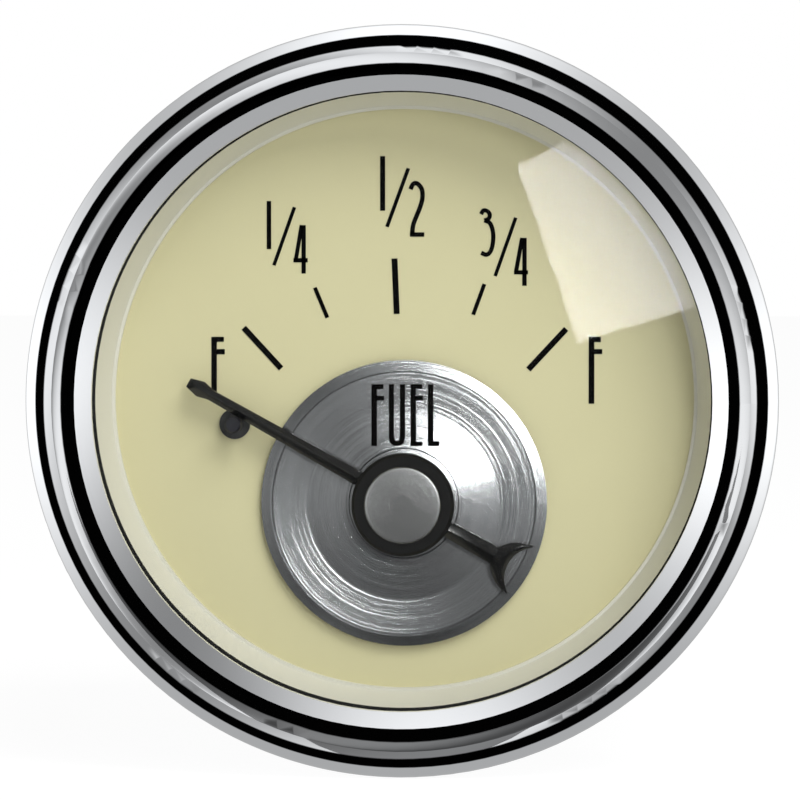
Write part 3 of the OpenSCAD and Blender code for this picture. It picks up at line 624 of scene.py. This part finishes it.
# %% Pointer, hub, lamp socket and gasket
for slot, dark, pale, gloss, specular, grain_size in (
        ("pointer_black", 0.003, 0.006, 0.15, 0.45, 2500),
        ("hub_black", 0.005, 0.010, 0.42, 0.3, 4000),
        ("black_plastic", 0.010, 0.020, 0.45, 0.5, 1500),
        ("black_rubber", 0.012, 0.025, 0.75, 0.5, 3000)):
    sheet = finish(slot)
    grain = sheet.noise(sheet.place(), grain_size, 3)
    sheet.surface(sheet.principled(
        Base_Color=sheet.mix(grain, grey(dark), (pale, pale, pale * 1.05, 1)),
        Roughness=gloss + 0.1 * grain, Specular_IOR_Level=specular,
        Normal=sheet.bump(grain, 3e-6)))

# %% Stop post
# The post is blued almost black, and its flange on the dial stays a dark grey. The blue
# starts this high over the dial, just above the flange, and is full a little higher, in mm.
BLUE_FROM, BLUE_FULL = 0.5, 0.6

sheet = finish("dark_pin")
grain = sheet.noise(sheet.place(), 2200, 3)
x, y, z = sheet.split(sheet.place())
post = (-y).rise((dial_top + BLUE_FROM) * MM, (dial_top + BLUE_FULL) * MM)
shade = sheet.mix(post, (0.045, 0.045, 0.043, 1), (0.003, 0.003, 0.010, 1))
sheet.surface(sheet.principled(
    Base_Color=sheet.mix(grain, shade, (0.02, 0.02, 0.026, 1)),
    Roughness=0.34 + 0.1 * grain, Normal=sheet.bump(grain, 2e-6)))

# %% [markdown]
# ### Plain metals
#
# Plated steel and brass differ in colour, in how they spread light and in the size of their
# marks. Each takes two shades, mixed by cloudy noise, and a fine scratch bump.

# %% Steel, brass, zinc and copper
for slot, dark, pale, gloss, marks in (
        ("steel", (0.42, 0.43, 0.45), (0.58, 0.59, 0.60), 0.28, 1500),
        ("can_steel", (0.36, 0.38, 0.41), (0.52, 0.54, 0.56), 0.38, 600),
        ("case_zinc", (0.50, 0.51, 0.52), (0.66, 0.67, 0.67), 0.34, 420),
        ("zinc_fastener", (0.52, 0.53, 0.53), (0.72, 0.72, 0.71), 0.26, 1200),
        ("bracket_zinc", (0.55, 0.54, 0.50), (0.74, 0.72, 0.66), 0.32, 500),
        ("brass", (0.58, 0.42, 0.16), (0.76, 0.58, 0.28), 0.26, 1200),
        ("brass_nut", (0.52, 0.38, 0.15), (0.72, 0.55, 0.27), 0.30, 1100),
        ("copper_wire", (0.42, 0.16, 0.07), (0.62, 0.27, 0.13), 0.30, 3000),
        ("magnet", (0.10, 0.10, 0.11), (0.20, 0.20, 0.21), 0.45, 1800)):
    sheet = finish(slot)
    cloud = sheet.noise(sheet.place(), marks / 3, 3, 0.4)
    marked = sheet.noise(sheet.place(), marks * 4, 3)
    sheet.surface(sheet.principled(
        Base_Color=sheet.mix(cloud, (*dark, 1), (*pale, 1)),
        Metallic=1.0, Roughness=gloss + 0.14 * cloud, Normal=sheet.bump(marked, 3e-6)))

# %% [markdown]
# ### Fibre, board and resin
#
# The pieces that keep the current apart are not metal: brown fibre washers, an ivory bobbin,
# the circuit board and the body of the resistor.

# %% Insulating pieces
for slot, dark, pale, gloss, marks in (
        ("ivory_plastic", (0.62, 0.58, 0.46), (0.72, 0.68, 0.56), 0.42, 900),
        ("board_resin", (0.20, 0.13, 0.045), (0.30, 0.20, 0.07), 0.45, 1600),
        ("resistor_body", (0.42, 0.30, 0.17), (0.52, 0.38, 0.22), 0.40, 1500),
        ("brown_fibre", (0.17, 0.065, 0.028), (0.30, 0.125, 0.055), 0.60, 2600)):
    sheet = finish(slot)
    cloud = sheet.noise(sheet.place(), marks, 4, 0.6)
    sheet.surface(sheet.principled(
        Base_Color=sheet.mix(cloud, (*dark, 1), (*pale, 1)),
        Roughness=gloss + 0.15 * cloud, Normal=sheet.bump(cloud, 8e-6)))

# %% Glass of the bulb
sheet = finish("bulb_glass")
clear = sheet.make("ShaderNodeBsdfTransparent", inputs={"Color": (0.96, 0.96, 0.94, 1)})
shine = sheet.make("ShaderNodeBsdfAnisotropic", inputs={"Roughness": 0.02})
fresnel = sheet.make("ShaderNodeFresnel", inputs={"IOR": 1.5})
sheet.surface(sheet.blend(0.04 + fresnel * 0.9, clear, shine))

# %% [markdown]
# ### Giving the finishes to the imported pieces
#
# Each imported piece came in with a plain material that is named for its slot, so the right
# finish is found by that name.

# %% Hand out the finishes
nodes = frame["nodes"]
for node in nodes.values():
    for place in node.material_slots:
        slot = place.material.name.split(".")[0]
        place.material = FINISHES[slot]
print(len(FINISHES), "finishes on", len(nodes), "pieces")

# %% [markdown]
# ## New pieces
#
# A new piece is a closed surface of points and faces. It rides on the body of the piece that
# it belongs to, takes its finish by slot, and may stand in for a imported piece.

# %% Put a piece in the scene
SHARP = math.radians(32)
# Points this close together are one point: in a new piece, and in a packed one
SAME_POINT = 1e-7
SAME_PACKED_POINT = 1e-6


def body_of(node):
    """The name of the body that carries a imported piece."""
    return nodes[node]["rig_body"]


def close_up(mesh):
    """Merges doubled points, turns every face outwards and smooths all but sharp edges."""
    work = bmesh.new()
    work.from_mesh(mesh)
    bmesh.ops.remove_doubles(work, verts=work.verts, dist=SAME_POINT)
    bmesh.ops.recalc_face_normals(work, faces=work.faces)
    work.to_mesh(mesh)
    work.free()
    mesh.shade_smooth()
    mesh.set_sharp_from_angle(angle=SHARP)


def add_piece(name, mesh, body, slot, *replaced):
    """An object at the origin that rides on body and stands for the replaced pieces."""
    piece = bpy.data.objects.new(name, mesh)
    bpy.context.scene.collection.objects.link(piece)
    mesh.materials.clear()
    mesh.materials.append(FINISHES[slot])
    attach(piece, body)
    if replaced:
        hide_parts(*replaced)
    print(name, len(mesh.polygons), "faces on", body)
    return piece


def mesh_of(name, parts):
    """One mesh from several (points in metres, faces) parts, closed up."""
    starts = np.cumsum([0] + [len(points) for points, _ in parts])
    points = np.concatenate([points for points, _ in parts])
    faces = [tuple(int(i + start) for i in face)
             for (_, some), start in zip(parts, starts) for face in some]
    mesh = bpy.data.meshes.new(name)
    mesh.from_pydata(points.tolist(), [], faces)
    close_up(mesh)
    return mesh


def tube_faces(rows, columns):
    """The four corner numbers of each cell of a grid, whose last column joins the first."""
    r = np.arange(rows - 1)[:, None]
    c = np.arange(columns)[None, :]
    c_next = (c + 1) % columns
    corners = [r * columns + c, r * columns + c_next,
               (r + 1) * columns + c_next, (r + 1) * columns + c]
    return np.stack(corners, -1).reshape(-1, 4).tolist()


# %% [markdown]
# ## Print on the dial
#
# The figures are tall and narrow, drawn with one even stroke that ends square. Each is a
# list of strokes, and a stroke is a thin bar of ink carried along a path. Curved strokes are
# drawn through their points with a smooth curve.

# %% Strokes of ink
# How far the ink stands over its surface and reaches into it, in mm
INK = 0.04
INK_SUNK = 0.01
CURVE_STEPS = 6


def smooth_path(points):
    """A curve through the points: each piece is a cubic whose slope at a point is half the way
    between that point's neighbours."""
    p = np.asarray(points, float)
    p = np.concatenate([[2 * p[0] - p[1]], p, [2 * p[-1] - p[-2]]])
    t = np.linspace(0, 1, CURVE_STEPS, endpoint=False)[:, None, None]
    a, b, c, d = p[:-3], p[1:-2], p[2:-1], p[3:]
    curve = 0.5 * (2 * b + (c - a) * t + (2 * a - 5 * b + 4 * c - d) * t ** 2
                   + (3 * b - a - 3 * c + d) * t ** 3)
    return np.concatenate([curve.transpose(1, 0, 2).reshape(-1, 2), p[-2:-1]])


def stroke(points, width, level, curved=False):
    """A bar of ink: at each point of the path, half the width to both sides along the mitre,
    from just under the surface to just over it."""
    path = smooth_path(points) if curved else np.asarray(points, float)
    way = np.diff(path, axis=0)
    way /= np.linalg.norm(way, axis=1, keepdims=True)
    before = np.concatenate([way[:1], way])
    after = np.concatenate([way, way[-1:]])
    middle = before + after
    middle /= np.linalg.norm(middle, axis=1, keepdims=True)
    reach = 0.5 * width / np.maximum(0.5, np.sum(middle * before, axis=1, keepdims=True))
    side = np.stack([-middle[:, 1], middle[:, 0]], -1) * reach
    low, high = level - INK_SUNK, level + INK
    rings = np.stack([
        np.concatenate([path + s * side, np.full((len(path), 1), h)], axis=1)
        for s, h in ((1, low), (-1, low), (-1, high), (1, high))], axis=1)
    faces = tube_faces(len(path), 4)
    last = 4 * (len(path) - 1)
    faces += [(3, 2, 1, 0), (last, last + 1, last + 2, last + 3)]
    return from_face(rings.reshape(-1, 3)), faces


# %% Figures of the scale
# Each row holds a stroke's points, its width, and whether its path is curved, in mm
quarter = [
    ([(-11.0, 12.15), (-11.0, 16.05)], 0.36, False),
    ([(-8.92, 15.55), (-10.60, 10.83)], 0.29, False),
    ([(-8.18, 10.16), (-8.18, 14.09)], 0.35, False),
    ([(-8.34, 14.09), (-8.83, 11.2)], 0.33, False),
    ([(-9.01, 11.24), (-7.85, 11.24)], 0.35, False)]
half = [
    ([(-1.76, 15.26), (-1.76, 19.68)], 0.41, False),
    ([(0.33, 18.70), (-1.41, 13.95)], 0.30, False),
    ([(0.50, 17.00), (0.72, 17.42), (1.06, 17.45), (1.42, 17.0), (1.47, 16.30), (1.28, 15.55),
      (0.98, 14.80), (0.72, 14.10), (0.63, 13.32)], 0.37, True),
    ([(0.45, 13.33), (1.62, 13.33)], 0.36, False)]
three_quarters = [
    ([(6.22, 14.98), (6.42, 15.28), (6.74, 15.22), (6.93, 14.95), (6.84, 14.62), (6.50, 14.47)],
     0.34, True),
    ([(6.50, 14.49), (6.92, 14.28), (7.15, 13.75), (7.22, 13.10), (7.13, 12.35), (6.92, 11.86),
      (6.62, 11.70), (6.24, 11.86)], 0.35, True),
    ([(9.04, 14.70), (7.37, 9.96)], 0.29, False),
    ([(9.75, 9.18), (9.75, 13.06)], 0.36, False),
    ([(9.56, 13.06), (9.05, 10.25)], 0.34, False),
    ([(8.90, 10.27), (10.04, 10.27)], 0.34, False)]
empty_letter = [
    ([(-15.48, -0.22), (-15.48, 5.01)], 0.45, False),
    ([(-15.30, 4.81), (-14.68, 4.81)], 0.40, False),
    ([(-15.30, 3.80), (-14.61, 3.80)], 0.43, False),
    ([(-15.30, -0.02), (-14.62, -0.02)], 0.40, False)]
full_letter = [
    ([(15.19, -0.38), (15.19, 5.07)], 0.46, False),
    ([(15.30, 4.84), (15.95, 4.84)], 0.45, False),
    ([(15.30, 3.85), (16.06, 3.85)], 0.41, False)]
figures = quarter + half + three_quarters + empty_letter + full_letter
add_piece("dial_figures",
          mesh_of("dial_figures", [stroke(path, width, dial_top, curved)
                                   for path, width, curved in figures]),
          body_of("dial_plate"), "black_ink")

# %% Word on the disc
word = [
    ([(-2.41, -3.81), (-2.41, 1.21)], 0.45, False),
    ([(-2.25, 1.01), (-1.66, 1.01)], 0.40, False),
    ([(-2.25, 0.08), (-1.59, 0.08)], 0.39, False),
    ([(-1.01, 1.21), (-1.01, -3.10), (-0.93, -3.42), (-0.76, -3.56), (-0.56, -3.60),
      (-0.36, -3.56), (-0.19, -3.42), (-0.11, -3.10), (-0.11, 1.21)], 0.42, False),
    ([(0.77, -3.80), (0.77, 1.22)], 0.45, False),
    ([(0.90, 1.02), (1.49, 1.02)], 0.40, False),
    ([(0.90, 0.09), (1.56, 0.09)], 0.39, False),
    ([(0.90, -3.62), (1.49, -3.62)], 0.36, False),
    ([(2.17, -3.80), (2.17, 1.22)], 0.44, False),
    ([(2.30, -3.60), (2.89, -3.60)], 0.39, False)]
add_piece("disc_word",
          mesh_of("disc_word", [stroke(path, width, disc_top, curved)
                                for path, width, curved in word]),
          body_of("center_disc"), "black_ink")

# %% [markdown]
# ## Softened edges
#
# No real edge is perfectly sharp, and the narrow bright line along an edge is what makes a
# small metal or painted piece look real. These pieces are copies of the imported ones, with
# doubled points merged and flat faces joined, and then a Bevel modifier rounds the edges.

# %% Bevelled copies
# Faces that turn by less than the first angle are joined, and edges above the second rounded
FLAT = math.radians(1)
BEVEL_FROM = math.radians(25)
CUT_EDGE = 0.08
PRESSED_EDGE = 0.15


def softened(node, slot, width, name):
    """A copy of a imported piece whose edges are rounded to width, in mm."""
    mesh = nodes[node].data.copy()
    mesh.name = name
    work = bmesh.new()
    work.from_mesh(mesh)
    bmesh.ops.remove_doubles(work, verts=work.verts, dist=SAME_PACKED_POINT)
    bmesh.ops.dissolve_limit(work, angle_limit=FLAT, verts=work.verts, edges=work.edges)
    work.to_mesh(mesh)
    work.free()
    mesh.shade_smooth()
    piece = add_piece(name, mesh, body_of(node), slot, node)
    bevel = piece.modifiers.new("soft_edges", "BEVEL")
    bevel.width = width * MM
    bevel.segments = 2
    bevel.limit_method = "ANGLE"
    bevel.angle_limit = BEVEL_FROM
    bevel.use_clamp_overlap = True
    bevel.harden_normals = True
    return piece


painted_arm = softened("pointer_arm", "pointer_black", CUT_EDGE, "pointer_arm_painted")
softened("mounting_bracket", "bracket_zinc", PRESSED_EDGE, "bracket_pressed")
for node, slot in (("stud_nuts", "zinc_fastener"), ("terminal_nuts", "brass_nut"),
                   ("bracket_nut_left", "zinc_fastener"),
                   ("bracket_nut_right", "zinc_fastener"), ("lamp_contacts", "brass")):
    softened(node, slot, CUT_EDGE, node + "_cut")

# %% [markdown]
# ## Turned cap
#
# The cap is a low crown. Its height falls with the square of the distance from the pivot,
# and the edge is a quarter round. The outline is carried once round the pivot.

# %% Turn the cap
CROWN = 0.10
EDGE_ROUND = 0.12
CROWN_STEPS = 16
EDGE_STEPS = 5
ROUND_STEPS = 96


def turned_cap():
    """The crown's outline from the pivot to the edge, round it and back, turned once."""
    top, floor = front_level("pointer_cap"), rear_level("pointer_cap")
    full = (cap_high.x - cap_low.x) / 2 / MM
    r = np.linspace(0, full - EDGE_ROUND, CROWN_STEPS)
    crown = top - CROWN * (r / full) ** 2
    t = np.linspace(0, math.pi / 2, EDGE_STEPS)[1:]
    edge_r = full - EDGE_ROUND + EDGE_ROUND * np.sin(t)
    edge_z = crown[-1] - EDGE_ROUND + EDGE_ROUND * np.cos(t)
    rows_r = np.concatenate([r, edge_r, [full, 0]])[:, None]
    rows_z = np.concatenate([crown, edge_z, [floor, floor]])[:, None]
    a = np.linspace(0, 2 * math.pi, ROUND_STEPS, endpoint=False)[None, :]
    points = np.stack([rows_r * np.cos(a), pivot_y + rows_r * np.sin(a),
                       np.broadcast_to(rows_z, (len(rows_z), ROUND_STEPS))], -1)
    return (from_face(points.reshape(-1, 3)),
            tube_faces(len(rows_r), ROUND_STEPS))


add_piece("pointer_cap_turned", mesh_of("pointer_cap_turned", [turned_cap()]),
          body_of("pointer_cap"), "turned_cap", "pointer_cap")

# %% [markdown]
# ## Threaded studs
#
# A thread is one ridge that winds down the stud. On a grid with the angle across and the
# length down, the radius falls from the crest by a wave of length minus turn. The grid
# starts and ends on the axis, which closes both ends.

# %% Wind a thread
PITCH = 0.79
THREAD_DEPTH = 0.24
# The thread deepens and runs out over these shares of a pitch
RUN_IN, RUN_OUT = 0.5, 0.3
TURN_STEPS = 48
STEPS_PER_PITCH = 8


def threaded_stud(x, y, profile, threaded):
    """Radius at height z and angle a: the profile's own radius, and in the threaded part less
    depth times a triangle wave of (z / pitch + a / full turn), faded in at its ends."""
    start, end = threaded
    inner = np.arange(start, end, -PITCH / STEPS_PER_PITCH)
    outline = np.array(profile, float)
    levels = [(z, r) for r, z in outline]
    extra = [(z, np.interp(-z, -outline[:, 1], outline[:, 0])) for z in inner]
    rows = np.array(sorted(levels + extra, key=lambda row: -row[0]))
    z, r = rows[:, :1], rows[:, 1:]
    a = np.linspace(0, 2 * math.pi, TURN_STEPS, endpoint=False)[None, :]
    wave = np.abs(2 * ((z / PITCH + a / (2 * math.pi)) % 1) - 1)
    fade = np.clip((start - z) / (RUN_IN * PITCH), 0, 1) \
        * np.clip((z - end) / (RUN_OUT * PITCH), 0, 1)
    radius = np.maximum(0, r - THREAD_DEPTH * wave * fade)
    points = np.stack([x + radius * np.cos(a), y + radius * np.sin(a),
                       np.broadcast_to(z, radius.shape)], -1)
    return (from_face(points.reshape(-1, 3)),
            tube_faces(len(rows), TURN_STEPS))


def stud_places(node):
    """The middle of each separate solid of a node, on the face's x and y, in mm."""
    work = bmesh.new()
    work.from_mesh(nodes[node].data)
    bmesh.ops.remove_doubles(work, verts=work.verts, dist=SAME_PACKED_POINT)
    left, places = set(work.verts), []
    while left:
        waiting, solid = [left.pop()], []
        while waiting:
            vert = waiting.pop()
            solid.append(vert.co)
            near = {edge.other_vert(vert) for edge in vert.link_edges} & left
            left -= near
            waiting += near
        corners = np.array(solid)
        middle = (corners.min(0) + corners.max(0)) / 2 / MM
        places.append((float(middle[0]), float(middle[2])))
    work.free()
    return sorted(places)


# %% Mounting and terminal studs
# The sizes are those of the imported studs, in mm. A step straight across would double a level,
# so its two points lie this far apart.
STEP = 0.001
END_CHAMFER = 0.4
CASE_WALL = 0.8
case_floor = back_z + CASE_WALL

# A mounting stud has a head inside the case and a long threaded shank
mount_r, mount_head_r = 2.415, 3.815
mount_head = case_floor + 1.2
mount_end = back_z - 18
mount_thread = (back_z - 2.2, mount_end + END_CHAMFER)
mount_profile = [(0, mount_head), (mount_head_r, mount_head), (mount_head_r, case_floor),
                 (mount_r, case_floor - STEP), (mount_r, mount_thread[1]),
                 (mount_r - END_CHAMFER, mount_end), (0, mount_end)]

# A terminal stud has a thin pin through the board, a head, and a relief groove below its nut
term_r, term_pin_r, term_head_r = 2.08, 1.0, 3.18
relief = 0.25
pin_end, head_top, head_rear = case_floor + 4.6, case_floor + 2.6, case_floor + 1.0
nut_end = back_z - 4.5
relief_end = nut_end - 0.8
term_end = back_z - 13
term_thread = (relief_end, term_end + END_CHAMFER)
term_profile = [(0, pin_end), (term_pin_r, pin_end), (term_pin_r, head_top + STEP),
                (term_head_r, head_top), (term_head_r, head_rear),
                (term_r, head_rear - STEP), (term_r, nut_end), (term_r - relief, nut_end - STEP),
                (term_r - relief, relief_end + STEP), (term_r, relief_end),
                (term_r, term_thread[1]), (term_r - END_CHAMFER, term_end), (0, term_end)]

for node, slot, profile, thread in (
        ("mounting_studs", "zinc_fastener", mount_profile, mount_thread),
        ("terminal_studs", "brass", term_profile, term_thread)):
    add_piece(node + "_threaded",
              mesh_of(node + "_threaded", [threaded_stud(x, y, profile, thread)
                                           for x, y in stud_places(node)]),
              body_of(node), slot, node)

# %% [markdown]
# ## Split lock washers
#
# A lock washer is a bar of square section bent into a ring with a gap, and sprung so that its
# two ends stand a little apart. The section is carried round the circle as it climbs.

# %% Bend the washers
WASHER_GAP = math.radians(9)
WASHER_STEPS = 60
# How far apart the ends stand, and how much is clipped from each corner, in mm
SPRING = 0.12
CORNER = 0.08


def split_washer(x, y, inner, outer, low, high):
    """A rectangle with clipped corners, carried from one end of the gap to the other, and
    raised by the spring times the share of the way gone."""
    a = np.linspace(WASHER_GAP / 2, 2 * math.pi - WASHER_GAP / 2, WASHER_STEPS)[:, None]
    rise = SPRING * (a / (2 * math.pi) - 0.5)
    bottom, top = low + SPRING / 2, high - SPRING / 2
    section = np.array([(inner + CORNER, bottom), (outer - CORNER, bottom),
                        (outer, bottom + CORNER), (outer, top - CORNER), (outer - CORNER, top),
                        (inner + CORNER, top), (inner, top - CORNER), (inner, bottom + CORNER)])
    r, h = section[None, :, 0], section[None, :, 1] + rise
    points = np.stack([x + r * np.cos(a), y + r * np.sin(a),
                       np.broadcast_to(h, (len(a), len(section)))], -1)
    faces = tube_faces(len(a), len(section))
    last = len(section) * (len(a) - 1)
    faces += [tuple(reversed(range(len(section)))), tuple(range(last, last + len(section)))]
    return from_face(points.reshape(-1, 3)), faces


for node, inner, outer in (("bracket_washers", 2.715, 4.315), ("terminal_washers", 2.12, 3.98)):
    low, high = rear_level(node), front_level(node)
    add_piece(node + "_split",
              mesh_of(node + "_split", [split_washer(x, y, inner, outer, low, high)
                                        for x, y in stud_places(node)]),
              body_of(node), "zinc_fastener", node)

# %% [markdown]
# ## Lamps that light some pieces only
#
# The chrome would show the softbox as bright arcs that the photograph lacks, so it is left
# out of that lamp. The glass takes its pale patch from the sheen, the disc takes its bright
# fans from the gleam, and the pointer takes its edge lines from the edge light.

# %% Link the lamps


def only_on(lamp, pieces, state):
    """The lamp lights just these pieces (INCLUDE) or all but them (EXCLUDE)."""
    group = bpy.data.collections.new(lamp.name + "_receivers")
    for piece in pieces:
        group.objects.link(piece)
    for link in group.collection_objects:
        link.light_linking.link_state = state
    lamp.light_linking.receiver_collection = group


only_on(softbox, [nodes["bezel"]], "EXCLUDE")
only_on(sheen, [nodes["lens"]], "INCLUDE")
only_on(gleam, [nodes["center_disc"]], "INCLUDE")
only_on(edge_light, [painted_arm], "INCLUDE")
